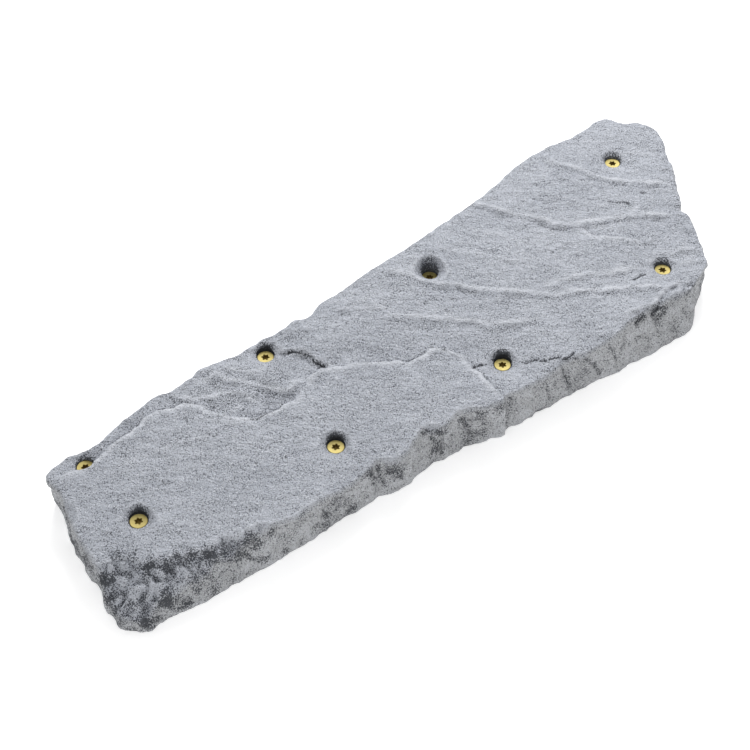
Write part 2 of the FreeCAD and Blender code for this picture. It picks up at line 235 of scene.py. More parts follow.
# Pieces broken out of the near edge and the left end: x, y, radius along, radius across, depth.
SCOOPS = [
    (-106, -63, 11, 7, 6.0), (-64, -64, 9, 8, 6.0), (-36, -68, 9, 7, 6.0),
    (-206, -50, 12, 8, 5.0), (-152, -62, 10, 6, 3.0), (143, -90, 8, 4, 4.0),
    (124, -87, 6, 4, 3.0), (162, -88, 10, 4, 2.5), (178, -85, 8, 4, 2.5),
    (62, -86, 9, 6, 3.0), (-287, 50, 9, 10, 2.5), (-297, 14, 6, 10, 2.5),
]
# The patches of black wash and painted shade: how much the strengths below are raised, the
# most they reach, and how ragged the patches are.
PATCH_GAIN = 1.15
PATCH_MOST = 1.1
PATCH_RAGGED = 0.34
# Patches of black wash on the casting, the first three painted shade in the low gully beyond
# the main edge: x, y, height, radius, strength.
WASH_AND_SHADE_PATCHES = [
    (-142, 60, 31, 30, 0.2), (-112, 50, 31, 26, 0.2), (-165, 78, 31, 18, 0.2),
    (-278, -1, 30, 6.2, 0.97), (-274, -9, 29, 6.2, 0.76), (-269, -19, 26, 10, 0.97),
    (-260, -27, 26, 10, 0.81), (-251, -27, 30, 6.2, 0.92), (-245, -33, 28, 7.5, 1.03),
    (-234, -39, 28, 8.8, 1.19), (-226, -42, 27, 6.2, 1.08), (-252, -39, 20, 7.5, 0.65),
    (-293, -7, 19, 10, 1.08), (-297, -14, 14, 8.8, 0.86), (-291, -27, 13, 7.5, 0.76),
    (-281, -33, 14, 8.8, 0.97), (-271, -41, 16, 8.8, 1.3), (-250, -47, 15, 6.2, 0.76),
    (-242, -48, 17, 6.2, 0.76), (-261, -45, 6, 6.2, 1.08), (-281, -42, 15, 8.8, 0.54),
    (-289, -41, 7, 7.5, 1.08), (-281, -42, 6, 6.2, 0.86), (-300, -24, 8, 8.8, 0.54),
    (-112, -59, 27, 6, 1.1), (-110, -59, 18, 5, 0.8), (-97, -64, 19, 9, 0.9),
    (-206, -45, 30, 6.2, 0.97), (-204, -50, 22, 7.5, 0.76), (-218, -46, 24, 10, 0.86),
    (-132, -58, 5, 5, 0.8), (-144, -58, 25, 6, 0.5), (-153, -57, 7, 5, 0.7),
    (-187, -54, 5, 4, 0.8), (-204, -53, 10, 6.2, 0.65), (-195, -52, 26, 6.2, 0.54),
    (-64, -60, 31, 5, 1.2), (-57, -64, 29, 5, 0.9), (-58, -64, 16, 8, 0.6),
    (-37, -66, 28, 5, 1.1), (-34, -68, 19, 5, 1.0), (-28, -70, 10, 7, 0.7),
    (-24, -71, 27, 6, 0.6), (-10, -75, 30, 5, 0.5), (-4, -76, 20, 4, 0.8), (-3, -76, 6, 4, 0.8),
    (142, -88, 31, 4, 1.1), (124, -89, 33, 4, 0.8), (139, -94, 27, 5, 0.6), (60, -82, 32, 4, 0.6),
    (76, -86, 20, 4, 0.9), (83, -86, 8, 4, 0.7), (51, -82, 22, 5, 0.6), (55, -82, 10, 5, 0.5),
    (-286, 48, 16, 11.2, 0.54), (-294, 14, 16, 11.2, 0.65), (-283, 68, 12, 11.2, 0.54),
    (-281, 80, 8, 10, 0.65), (-290, 34, 12, 11.2, 0.76), (-288, 44, 6, 10, 0.76),
    (-284, 58, 18, 8.8, 0.54), (225, -56, 14, 9, 0.35), (246, -22, 12, 10, 0.35),
]
# How each screw's pocket opens out: start of the flare over the head on its low and its high
# side, the slope of the flare on the low and the high side, and the way to the high side in
# degrees.
FLARES = [
    (0.4, 1.2, 0.62, 1.35, 48), (7.0, 0.8, 1.6, 0.6, 105), (0.4, 1.4, 0.62, 1.4, 48),
    (1.5, 2.0, 0.58, 1.3, 60), (3.8, 6.4, 0.85, 2.4, 48), (0.4, 1.8, 0.58, 1.5, 48),
    (0.9, 1.4, 0.46, 1.3, 48), (1.1, 1.6, 0.48, 1.3, 48),
]
# The way to the far side of a pocket, which is darker than its near side as painted shade
# (its far wall faces away from the key light), and how dark each screw's pocket is: black
# spray plus painted shade.
FAR_WAY = (math.cos(math.radians(48.0)), math.sin(math.radians(48.0)))
POCKET_BLACK_AND_SHADE = (0.85, 0.5, 0.95, 0.95, 0.58, 0.95, 0.55, 0.65)
# Points above this height, in millimetres, are in a pocket or on the face round it.
POCKET_FOOT = 15.0

# ---------------------------------------------------------------------------------------
# Small tools for whole arrays
# ---------------------------------------------------------------------------------------


def smooth(t):
    """0 below 0, 1 above 1, and the curve 3t^2 - 2t^3 between."""
    t = np.clip(t, 0.0, 1.0)
    return t * t * (3.0 - 2.0 * t)


def value_noise(x, y, cell, seed):
    """Random heights from -1 to 1 on a square lattice of the given cell, blended smoothly."""
    table = np.random.default_rng(seed).uniform(-1.0, 1.0, (256, 256))
    gx, gy = x / cell, y / cell
    ix, iy = np.floor(gx).astype(int), np.floor(gy).astype(int)
    fx, fy = smooth(gx - ix), smooth(gy - iy)
    ix, iy = ix % 256, iy % 256
    jx, jy = (ix + 1) % 256, (iy + 1) % 256
    low = table[ix, iy] * (1.0 - fx) + table[jx, iy] * fx
    high = table[ix, jy] * (1.0 - fx) + table[jx, jy] * fx
    return low * (1.0 - fy) + high * fy


def layered_noise(x, y, cell, layers, seed):
    """Value noise summed in layers, each with half the cell and half the height."""
    total = np.zeros(np.shape(x))
    for layer in range(layers):
        shift = 17.3 * layer
        total += value_noise(x + shift, y - shift, cell / 2 ** layer, seed + layer) / 2 ** layer
    return total


def on_panel(points):
    """Plan points in millimetres, stretched to the frame's panel, as an array in metres."""
    plan = np.array(points, float)
    plan[:, 0] *= MM * STRETCH[0]
    plan[:, 1] *= MM * STRETCH[1]
    return plan


def evenly_along(points, count):
    """count points evenly spaced along a smooth curve through the given points.

    Between two points the curve is the cubic whose slope at each is half the step between
    that point's neighbours."""
    path = np.array(points, float)
    before = np.vstack([2 * path[0] - path[1], path[:-1]])
    after = np.vstack([path[1:], 2 * path[-1] - path[-2]])
    slope = (after - before) / 2.0
    t = np.linspace(0.0, 1.0, 24, endpoint=False)[:, None]
    h00, h10 = 2 * t ** 3 - 3 * t ** 2 + 1, t ** 3 - 2 * t ** 2 + t
    h01, h11 = -2 * t ** 3 + 3 * t ** 2, t ** 3 - t ** 2
    fine = (h00 * path[:-1, None] + h10 * slope[:-1, None]
            + h01 * path[1:, None] + h11 * slope[1:, None]).reshape(-1, path.shape[1])
    fine = np.vstack([fine, path[-1]])
    steps = np.linalg.norm(np.diff(fine, axis=0), axis=1)
    station = np.concatenate([[0.0], np.cumsum(steps)])
    wanted = np.linspace(0.0, station[-1], count)
    return np.stack([np.interp(wanted, station, fine[:, k]) for k in range(fine.shape[1])], 1)


def from_line(x, y, line):
    """Distance of each point from a line of straight runs, positive on its left, the distance
    along the line of the nearest place on it, and the line's length."""
    best = np.full(np.shape(x), 1e9)
    side = np.zeros(np.shape(x))
    along = np.zeros(np.shape(x))
    run = 0.0
    line = np.array(line, float)
    for start, end in zip(line[:-1], line[1:]):
        dx, dy = end - start
        length = math.hypot(dx, dy)
        t = np.clip(((x - start[0]) * dx + (y - start[1]) * dy) / length ** 2, 0.0, 1.0)
        away_x, away_y = x - start[0] - t * dx, y - start[1] - t * dy
        gap = np.hypot(away_x, away_y)
        nearer = gap < best
        best = np.where(nearer, gap, best)
        side = np.where(nearer, np.sign(dx * away_y - dy * away_x), side)
        along = np.where(nearer, run + t * length, along)
        run += length
    return best * np.where(side == 0.0, 1.0, side), along, run


def fade_ends(along, length, taper):
    """1 in the middle of a line, falling smoothly to 0 over the taper at both its ends."""
    return smooth(along / taper) * smooth((length - along) / taper)


def new_piece(name, points, faces, smooth_angle=None):
    """A mesh object at the origin from arrays of points and faces."""
    mesh = bpy.data.meshes.new(name)
    mesh.from_pydata(np.asarray(points).tolist(), [], faces)
    mesh.update()
    piece = bpy.data.objects.new(name, mesh)
    bpy.context.scene.collection.objects.link(piece)
    if smooth_angle is not None:
        shade(mesh, smooth_angle)
    return piece


def shade(mesh, angle):
    """Smooth shading, with edges sharper than the angle kept sharp."""
    mesh.polygons.foreach_set("use_smooth", np.ones(len(mesh.polygons), bool))
    mesh.set_sharp_from_angle(angle=angle)
    mesh.update()


def grid_faces(rows, columns, closed=False):
    """Quads of a grid of rows by columns of points; closed joins the last column to the first."""
    across = columns if closed else columns - 1
    i, j = np.meshgrid(np.arange(across), np.arange(rows - 1))
    k = (i + 1) % columns
    quads = np.stack([j * columns + i, j * columns + k, (j + 1) * columns + k,
                      (j + 1) * columns + i], -1)
    return quads.reshape(-1, 4)


def point_array(mesh):
    """The mesh's points as an array of rows."""
    co = np.empty(len(mesh.vertices) * 3)
    mesh.vertices.foreach_get("co", co)
    return co.reshape(-1, 3)


def capped_tube(row_count, sides):
    """Faces of a tube of rings of points, with a flat face at each end."""
    last = (row_count - 1) * sides
    faces = grid_faces(row_count, sides, closed=True).tolist()
    return faces + [list(range(sides))[::-1], list(range(last, last + sides))]


def set_attribute(mesh, name, values):
    """One number a point, which a material reads by name."""
    attribute = mesh.attributes.get(name) or mesh.attributes.new(name, "FLOAT", "POINT")
    attribute.data.foreach_set("value", np.asarray(values, np.float32))


def get_attribute(mesh, name):
    """The numbers of a mesh's attribute as an array."""
    values = np.empty(len(mesh.vertices), np.float32)
    mesh.attributes[name].data.foreach_get("value", values)
    return values


# ---------------------------------------------------------------------------------------
# The rock
# ---------------------------------------------------------------------------------------


def screw_axes():
    """The plan position of every screw, from the frame."""
    places = []
    for number in range(1, SCREW_COUNT + 1):
        low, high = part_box("screw_%d" % number)
        places.append(((low.x + high.x) / 2, (low.y + high.y) / 2))
    return places


def perimeter(settings):
    """The panel's plan outline, anticlockwise from the near-left corner, one point a column.

    Each side is a smooth curve through its points, moved in or out by layered noise."""
    columns, rows = settings.columns, settings.rows
    sides = [evenly_along(on_panel(NEAR_SIDE), columns + 1)[:-1],
             evenly_along(on_panel(RIGHT_END), rows + 1)[:-1],
             evenly_along(on_panel(FAR_SIDE), columns + 1)[::-1][:-1],
             evenly_along(on_panel(LEFT_END), rows + 1)[::-1][:-1]]
    loop = np.vstack(sides)
    outward = loop_normals(loop)
    rough = layered_noise(loop[:, 0], loop[:, 1], 9 * MM, 3, 11) * settings.outline_rough
    return loop + outward * rough[:, None]


def loop_normals(loop):
    """Outward normals of an anticlockwise loop, from the chord five points each way."""
    chord = np.roll(loop, -5, axis=0) - np.roll(loop, 5, axis=0)
    normal = np.stack([chord[:, 1], -chord[:, 0]], 1)
    return normal / np.linalg.norm(normal, axis=1)[:, None]


def batter(foot, columns):
    """How far the rim of the face stands in from the foot of the wall, in metres.

    On the near side it follows the inset list; elsewhere it is nearly upright, but for the
    far-left corner, where the rim hangs out over the foot."""
    x, y = foot[:, 0] / MM, foot[:, 1] / MM
    share = np.arange(len(foot)) / columns
    near = smooth(share / 0.02) * smooth((1.0 - share) / 0.03)
    inset = np.array(NEAR_INSET)
    near_inset = np.interp(x / STRETCH[0], inset[:, 0], inset[:, 1])
    lean = USUAL_INSET + near * (near_inset - USUAL_INSET)
    lean += 0.5 * value_noise(x, y, 15.0, 31)
    corner_x, corner_y = HANGING_CORNER
    hang = np.exp(-((y - corner_y) / HANG_FADE) ** 2) * smooth((corner_x - x) / HANG_FADE)
    return (np.maximum(lean, LEAST_INSET) - HANG * hang) * MM


def face_levels(x, y):
    """The worn face's height: each level weighed by the inverse fourth power of its distance."""
    total, weight = np.zeros(np.shape(x)), np.zeros(np.shape(x))
    for level_x, level_y, height in LEVELS:
        w = 1.0 / ((x - level_x) ** 2 + (y - level_y) ** 2 + LEVEL_BLEND) ** 2
        total += w * height
        weight += w
    return total / weight


def lower_of(first, second, blend):
    """The lower of two heights, with the crease between them rounded over the blend."""
    share = np.clip(0.5 + 0.5 * (second - first) / blend, 0.0, 1.0)
    return second * (1.0 - share) + first * share - blend * share * (1.0 - share)


def ledges(x, y, height):
    """Add every ledge and crack to the height; also return the pale share (wear plus painted
    highlight) and the dark share (painted shade, partly black wash in the cracks).

    A ledge is a lip on its high side and a drop across its face, both dying away with
    distance from its line; a crack is a bell-shaped trough along its line."""
    wear_and_highlight, wash_and_shade = np.zeros(np.shape(x)), np.zeros(np.shape(x))
    for high_side, lip, drop, reach, face, line in LEDGES.values():
        away, along, length = from_line(x, y, line)
        away = away * high_side
        ends = fade_ends(along, length, LEDGE_TAPER)
        ends = ends * (1.0 + 0.35 * value_noise(along, along * 0.0, 11.0, 61))
        fall = smooth(-away / face)
        above = lip * np.exp(-np.maximum(away, 0.0) / reach)
        below = lip * (1.0 - fall) - drop * fall * np.exp(-np.maximum(-away - face, 0.0) / reach)
        height = height + ends * np.where(away > 0.0, above, below)
        strength = ends * min(1.0, (lip + drop) / FULL_STEP)
        # The pale band just behind the lip: wear plus a painted highlight on the crest.
        wear_and_highlight = np.maximum(wear_and_highlight, strength * np.exp(-((away - PALE_BAND_BACK) / PALE_BAND_WIDTH) ** 2))
        # Painted shade over the ledge's face below the lip.
        ramp = smooth(-away / 1.5) * smooth((away + face + 3.0) / 3.0)
        wash_and_shade = np.maximum(wash_and_shade, 0.05 * strength * ramp)
    for depth, half, line in CRACKS:
        away, along, length = from_line(x, y, line)
        ends = fade_ends(along, length, 4.0)
        height = height - depth * ends * np.exp(-(away / half) ** 2)
        # Painted shade in the crack, partly black wash.
        wash_and_shade = np.maximum(wash_and_shade, 1.3 * ends * np.exp(-(away / (half + 0.3)) ** 2))
    return height, wear_and_highlight, wash_and_shade


def wander(x, y, seed):
    """How far a place strays, so that drawn lines waver: broad noise plus fine noise."""
    return 1.8 * value_noise(x, y, 9.0, seed) + 0.6 * value_noise(x, y, 3.5, seed + 2)


def take_scoops(x, y, height, lumps):
    """The height less a ragged bowl at each place where the edge is broken."""
    for cx, cy, along_x, across_y, depth in SCOOPS:
        gone = np.hypot((x - cx) / along_x, (y - cy) / across_y) + 0.20 * lumps
        height = height - depth * smooth((1.15 - gone) / 0.55)
    return height


def broken_corner(x, y, beyond, lumps):
    """Height of the broken corner, given how far each place lies beyond its line.

    It is a plane with a small step at the line, held above a floor, plus crags that are the
    folded value of two noises with their tops cut off. Before the line it rises clear."""
    slope = CORNER_TOP - CORNER_SLOPE * beyond - CORNER_STEP * smooth(beyond / 2.0)
    folds = np.abs(value_noise(x + y, x - y, 13.0, 73)) + np.abs(value_noise(x, y, 6.5, 74))
    crags = CORNER_CRAGS * (np.minimum(folds, 1.0) - 0.5) + 1.2 * lumps
    slope = np.maximum(slope, CORNER_FLOOR) + crags * smooth(beyond / 6.0)
    return slope + 5.0 * smooth(-beyond / 5.0)


def roughness(x, y):
    """Layered noise stretched along the beds, plus plain noise of three sizes."""
    run, cross = (x - y) / math.sqrt(2.0), (x + y) / math.sqrt(2.0)
    total = np.zeros(np.shape(x))
    for high, stretch, cell, seed in BED_ROUGHNESS:
        total += high * layered_noise(run / stretch, cross, cell, 2, seed)
    for high, cell, seed in ROUGHNESS:
        total += high * value_noise(x, y, cell, seed)
    return total


def open_pockets(x, y, height, lumps):
    """Hold the height under a flare round every screw pocket.

    A flare starts over the screw's head at the pocket's wall and rises outward. Its start
    and slope pass from the low side's to the high side's with the cosine of the way round."""
    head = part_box("screw_1")[1].z / MM
    low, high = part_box("seat_washer_1")
    pocket = (high.x - low.x) / 2 / MM
    for (cx, cy), (low_start, high_start, low_slope, high_slope, way) in zip(screw_axes(), FLARES):
        dx, dy = x - cx / MM, y - cy / MM
        reach = np.hypot(dx, dy)
        way = math.radians(way)
        lean = (dx * math.cos(way) + dy * math.sin(way)) / np.maximum(reach, 1e-6)
        far = smooth(0.5 + 0.5 * lean)
        start = low_start + (high_start - low_start) * far
        slope = low_slope + (high_slope - low_slope) * far
        rise = head + start + slope * np.maximum(reach - pocket, 0.0) + 0.25 * lumps
        height = lower_of(height, rise, 1.6)
    return height


def relief(x, y):
    """The face's height and its pale and dark shares, for plan points in millimetres: wear plus
    painted highlight, and black wash plus painted shade.

    Height is the worn level with its ledges and cracks, less the scoops, held under the
    broken corner, plus roughness, and held under the flares of the screw pockets."""
    wander_x, wander_y = x + wander(x, y, 51), y + wander(x, y, 52)
    height, wear_and_highlight, wash_and_shade = ledges(wander_x, wander_y, face_levels(x, y))
    lumps = layered_noise(x, y, 11.0, 3, 71)
    height = take_scoops(x, y, height, lumps)
    beyond = -from_line(wander_x, wander_y, CORNER_LINE)[0]
    height = lower_of(height, broken_corner(x, y, beyond, lumps), 1.0)
    wash_and_shade = np.maximum(wash_and_shade, 0.12 * smooth(beyond / 3.0))
    height = open_pockets(x, y, height + roughness(x, y), lumps)
    return height, wear_and_highlight, wash_and_shade


def hollows(x, y, height, reach):
    """How far each point lies below the mean of six relief heights round it."""
    total = np.zeros(np.shape(x))
    for turn in np.arange(6) * math.pi / 3:
        total += relief(x + reach * math.cos(turn), y + reach * math.sin(turn))[0]
    return total / 6.0 - height


def patched_wash_and_shade(x, y, z):
    """The share of black wash and painted shade at points in millimetres, from the patch list."""
    lumps = layered_noise(x + 0.6 * z, y + z, 5.0, 2, 121)
    total = np.zeros(np.shape(x))
    for cx, cy, cz, radius, strength in WASH_AND_SHADE_PATCHES:
        gap = np.sqrt((x - cx) ** 2 + (y - cy) ** 2 + (z - cz) ** 2) / radius
        patch = smooth(1.1 - gap - PATCH_RAGGED * lumps)
        total = np.maximum(total, PATCH_GAIN * strength * patch)
    return np.minimum(total, PATCH_MOST)


def wall_shift(foot, height, columns):
    """How far each point of the wall stands out past its batter, and the painted shade in its
    cracks.

    The sum of upright ribs (noise stretched down the wall), chips whose faces are the folded
    value of noise, and fine roughness, less a trough along each crack of the near wall, plus
    one block that stands proud of the next."""
    steps = np.linalg.norm(np.diff(np.vstack([foot, foot[:1]]), axis=0), axis=1)
    along = np.concatenate([[0.0], np.cumsum(steps)[:-1]])[None, :] / MM
    along = np.repeat(along, height.shape[0], axis=0)
    x = np.repeat(foot[None, :, 0], height.shape[0], axis=0) / MM / STRETCH[0]
    z = height / MM
    ribs = 0.9 * layered_noise(along, z / 3.5, 13.0, 2, 21)
    chips = 2.2 * (0.45 - np.abs(layered_noise(along, z * 1.2, 13.0, 2, 23)))
    fine = 0.75 * layered_noise(along, z, 5.0, 3, 25)
    shift = ribs + chips + fine
    near = (np.arange(len(foot)) < columns).astype(float)
    stray = 0.8 * value_noise(x, z, 4.0, 131)
    dark = np.zeros(np.shape(z))
    for depth, half, line in WALL_CRACKS:
        away, along_line, length = from_line(x, z, line)
        groove = near * np.exp(-((away + stray) / half) ** 2) * fade_ends(along_line, length, 3.0)
        shift = shift - depth * groove
        # Painted shade in the crack's groove.
        dark = np.maximum(dark, min(1.5, 0.5 * depth) * groove)
    behind = BLOCK_EDGE - x - 0.06 * z
    proud = near * smooth(behind / 1.2) * np.exp(-np.maximum(behind, 0.0) / 9.0)
    return (shift + BLOCK_PROUD * proud) * MM, dark


def crowded(count):
    """Steps from 0 to 1 that draw together over the first and last few, to hold the rim."""
    step = np.arange(count)
    size = 1.0 - 0.6 * (np.exp(-step / 2.5) + np.exp(-(count - 1 - step) / 2.5))
    places = np.concatenate([[0.0], np.cumsum(size)])
    return places / places[-1]


def face_plan(rim, columns, rows):
    """Plan places of the face's grid, blended from the rim's four sides.

    It is a Coons patch: the near-to-far blend plus the left-to-right blend, less the blend
    of the corners."""
    near, right = rim[:columns + 1], rim[columns:columns + rows + 1]
    far = rim[columns + rows:2 * columns + rows + 1][::-1]
    left = np.vstack([rim[2 * columns + rows:], rim[:1]])[::-1]
    u = crowded(columns)[None, :, None]
    v = crowded(rows)[:, None, None]
    return ((1 - v) * near[None] + v * far[None] + (1 - u) * left[:, None] + u * right[:, None]
            - (1 - u) * (1 - v) * near[0] - u * (1 - v) * near[-1]
            - (1 - u) * v * far[0] - u * v * far[-1])


def from_rim(plan):
    """Distance of each place of the grid from the nearest end of its row and column."""
    ends = (plan[:1], plan[-1:], plan[:, :1], plan[:, -1:])
    return np.minimum.reduce([np.linalg.norm(plan - end, axis=2) for end in ends])


def rounded_over(x, y, edge, rim_round):
    """How far the face falls at the rim: a flattened quarter circle of varying radius."""
    radius = rim_round * (1.0 + 0.6 * value_noise(x, y, 13.0, 41))
    inside = np.clip(radius - edge, 0.0, radius)
    return 0.8 * (radius - np.sqrt(np.maximum(radius ** 2 - inside ** 2, 0.0)))


def grid_border(columns, rows):
    """Numbers of the face grid's outer points, anticlockwise from the near-left corner."""
    index = np.arange((rows + 1) * (columns + 1)).reshape(rows + 1, columns + 1)
    return np.concatenate([index[0, :-1], index[:-1, -1], index[-1, ::-1][:-1],
                           index[::-1, 0][:-1]])


def build_wall(foot, rim, outward, lean, rim_height, settings):
    """Rings of points from below the rim to the back, with their dents and their painted shade.

    Each ring is the rim carried down and out by the batter and the wall's noise, which
    fades in below the rim. The last ring stands inside the foot, without dent or painted shade."""
    t = np.linspace(0.0, 1.0, settings.wall_rows + 1)[1:, None]
    z = (1.0 - t) * rim_height[None, :]
    shift, dark = wall_shift(foot, z, settings.columns)
    fade = smooth(t / 0.12)
    out = lean[None, :] * t ** 0.8 + shift * fade * (1.0 - 0.4 * t)
    xy = rim[None] + outward[None] * out[..., None]
    under = xy[-1:] - outward[None] * 1.2 * MM
    rings = np.concatenate([np.concatenate([xy, under]), np.vstack([z, z[-1:]])[..., None]], -1)
    dent = -shift / MM * fade
    return rings, np.vstack([dent, 0.0 * dent[-1:]]), np.vstack([dark, 0.0 * dark[-1:]])


def rock_faces(columns, rows, border, wall_rings):
    """Quads of the face and of the wall below its border, and the one flat face that closes
    the back."""
    below = np.arange(wall_rings * len(border)).reshape(wall_rings, -1)
    rings = np.vstack([border[None, :], below + (rows + 1) * (columns + 1)])
    following = np.roll(rings, -1, axis=1)
    wall = np.stack([rings[:-1], rings[1:], following[1:], following[:-1]], -1)
    faces = grid_faces(rows + 1, columns + 1).tolist() + wall.reshape(-1, 4).tolist()
    return faces + [rings[-1][::-1].tolist()]


def build_rock(settings):
    """The whole casting as one closed surface, with its pale share (wear plus painted highlight),
    dark share (black wash plus painted shade) and flank share.

    The face is a grid at the relief's height, rounded over at the rim, and the wall is the
    rim carried down to the back."""
    columns, rows = settings.columns, settings.rows
    foot = perimeter(settings)
    outward = loop_normals(foot)
    lean = batter(foot, columns)
    rim = foot - outward * lean[:, None]

    plan = face_plan(rim, columns, rows)
    x, y = plan[..., 0] / MM, plan[..., 1] / MM
    height, wear_and_highlight, wash_and_shade = relief(x / STRETCH[0], y / STRETCH[1])
    hollow = hollows(x / STRETCH[0], y / STRETCH[1], height, 3.2).ravel()
    edge = from_rim(plan)
    z = height * MM - rounded_over(x, y, edge, settings.rim_round)
    top = np.stack([plan[..., 0], plan[..., 1], z], -1).reshape(-1, 3)

    border = grid_border(columns, rows)
    wall, dent, dark = build_wall(foot, rim, outward, lean, top[border, 2], settings)
    points = np.vstack([top, wall.reshape(-1, 3)])
    faces = rock_faces(columns, rows, border, len(wall))

    inner = smooth(edge.ravel() / MM / 2.5)
    # Pale share: the ledges' band and crests that stand above their surroundings, as wear plus
    # painted highlight.
    top_wear_and_highlight = np.maximum(wear_and_highlight.ravel(), smooth(-hollow / 0.9) * 0.55) * (0.25 + 0.75 * inner)
    # The wall's proud parts paler: wear plus painted highlight.
    wall_wear_and_highlight = 0.35 * smooth(-dent - 0.3).ravel()
    # Painted shade in the hollows, added to that of the ledges and cracks.
    top_wash_and_shade = wash_and_shade.ravel() + 0.35 * smooth(hollow / 1.4)
    # Painted shade in the wall's cracks and dents.
    wall_shade = np.maximum(dark, 0.28 * smooth((dent + 0.1) / 1.6)).ravel()
    # Black wash patches, and painted shade in the low gully.
    patch_wash_and_shade = patched_wash_and_shade(points[:, 0] / MM / STRETCH[0], points[:, 1] / MM / STRETCH[1],
                  points[:, 2] / MM)
    wash_and_shade = np.maximum(np.concatenate([top_wash_and_shade, wall_shade]), patch_wash_and_shade)
    shares = {
        "wear_and_highlight": np.concatenate([top_wear_and_highlight, wall_wear_and_highlight]),
        "wash_and_shade": wash_and_shade * (points[:, 2] > 0.0),
        "flank": np.concatenate([0.6 * (1.0 - inner), np.ones(wall_shade.shape)]),
    }
    return points, faces, shares


def turned_surface(profile, sides, centre):
    """A closed turned solid: a profile of (radius, height) carried round an upright axis, with
    a flat face at each end."""
    profile = np.array(profile, float)
    angle = np.linspace(0.0, 2 * math.pi, sides, endpoint=False)
    ring = np.stack([np.cos(angle), np.sin(angle)], -1)
    xy = profile[:, 0][:, None, None] * ring[None] + np.array(centre)[None, None]
    z = np.repeat(profile[:, 1][:, None], sides, axis=1)
    points = np.concatenate([xy, z[..., None]], -1).reshape(-1, 3)
    return points, capped_tube(len(profile), sides)


def pocket_cutter(settings):
    """Eight turned cutters in one mesh: clearance hole and washer pocket."""
    all_points, all_faces, offset = [], [], 0
    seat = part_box("seat_washer_1")[0].z
    hole, pocket = settings.hole_radius, settings.pocket_radius
    profile = [(hole, -2 * MM), (hole, seat), (pocket, seat), (pocket, PANEL_HIGH.z + 6 * MM)]
    for cx, cy in screw_axes():
        points, faces = turned_surface(profile, 72, (cx, cy))
        all_points.append(points)
        all_faces += [[i + offset for i in face] for face in faces]
        offset += len(points)
    return new_piece("pocket_cutter", np.vstack(all_points), all_faces)


def cut_pockets(rock, settings):
    """Take the screw pockets out of the rock."""
    cutter = pocket_cutter(settings)
    cut = rock.modifiers.new("pockets", "BOOLEAN")
    cut.operation = "DIFFERENCE"
    cut.object = cutter
    cut.solver = "EXACT"
    with bpy.context.temp_override(object=rock, active_object=rock):
        bpy.ops.object.modifier_apply(modifier=cut.name)
    bpy.data.objects.remove(cutter, do_unlink=True)


def blacken_and_shade_pockets(mesh, settings):
    """Darken the pockets' walls and a soft patch past the far side of each mouth: black spray,
    plus painted shade that grows towards the far side, whose walls face away from the key light.
    """
    x, y, z = point_array(mesh).T / MM
    wash_and_shade, flank = get_attribute(mesh, "wash_and_shade"), get_attribute(mesh, "flank")
    lumps = value_noise(x, y, 2.4, 111) * 0.8
    pocket = settings.pocket_radius / MM
    above_hole = z > POCKET_FOOT
    for (cx, cy), strength in zip(screw_axes(), POCKET_BLACK_AND_SHADE):
        dx, dy = x - cx / MM, y - cy / MM
        ring = np.hypot(dx, dy)
        ahead = dx * FAR_WAY[0] + dy * FAR_WAY[1]
        beside = dx * FAR_WAY[1] - dy * FAR_WAY[0]
        gap = np.hypot(ahead - 2.0, 1.12 * beside)
        # Black spray plus painted shade: the patch lies past the far side only, and the wall
        # darkens towards the far side.
        patch = smooth((pocket + 2.4 - gap + lumps) / 4.4) * smooth((ahead + 2.0) / 3.0)
        inside = 0.25 + 0.85 * smooth((ahead + 1.0) / 4.0)
        black_and_shade = 1.55 * strength * np.where(ring < pocket + 0.03, inside, patch)
        round_it = (ring < pocket + 9.0) & above_hole
        wash_and_shade = np.where(round_it, np.maximum(0.3 * wash_and_shade, black_and_shade), wash_and_shade)
        flank = np.where((ring < pocket + 0.05) & above_hole, 0.0, flank)
    set_attribute(mesh, "wash_and_shade", wash_and_shade)
    set_attribute(mesh, "flank", flank)


# ---------------------------------------------------------------------------------------
# The screws
# ---------------------------------------------------------------------------------------
POINT_RADIUS = 0.12 * MM
THREAD_START = 0.6 * MM
# Half-widths of the thread's crest and of its foot, along the axis.
THREAD_CREST = 0.16 * MM
THREAD_FOOT = 0.85 * MM
# The head: rounding of its edge, and how far its face sinks to the socket.
HEAD_EASE = 0.28 * MM
HEAD_DISH = 0.16 * MM
# The socket: depth of its eased mouth, and how much narrower its foot is.
SOCKET_MOUTH = 0.25 * MM
SOCKET_TAPER = 0.16 * MM
# Angle each star socket is turned to, in degrees, from screw 1 to screw 8.
STAR_TURNS = (8.0, 25.0, 40.0, 15.0, 33.0, 52.0, 20.0, 5.0)


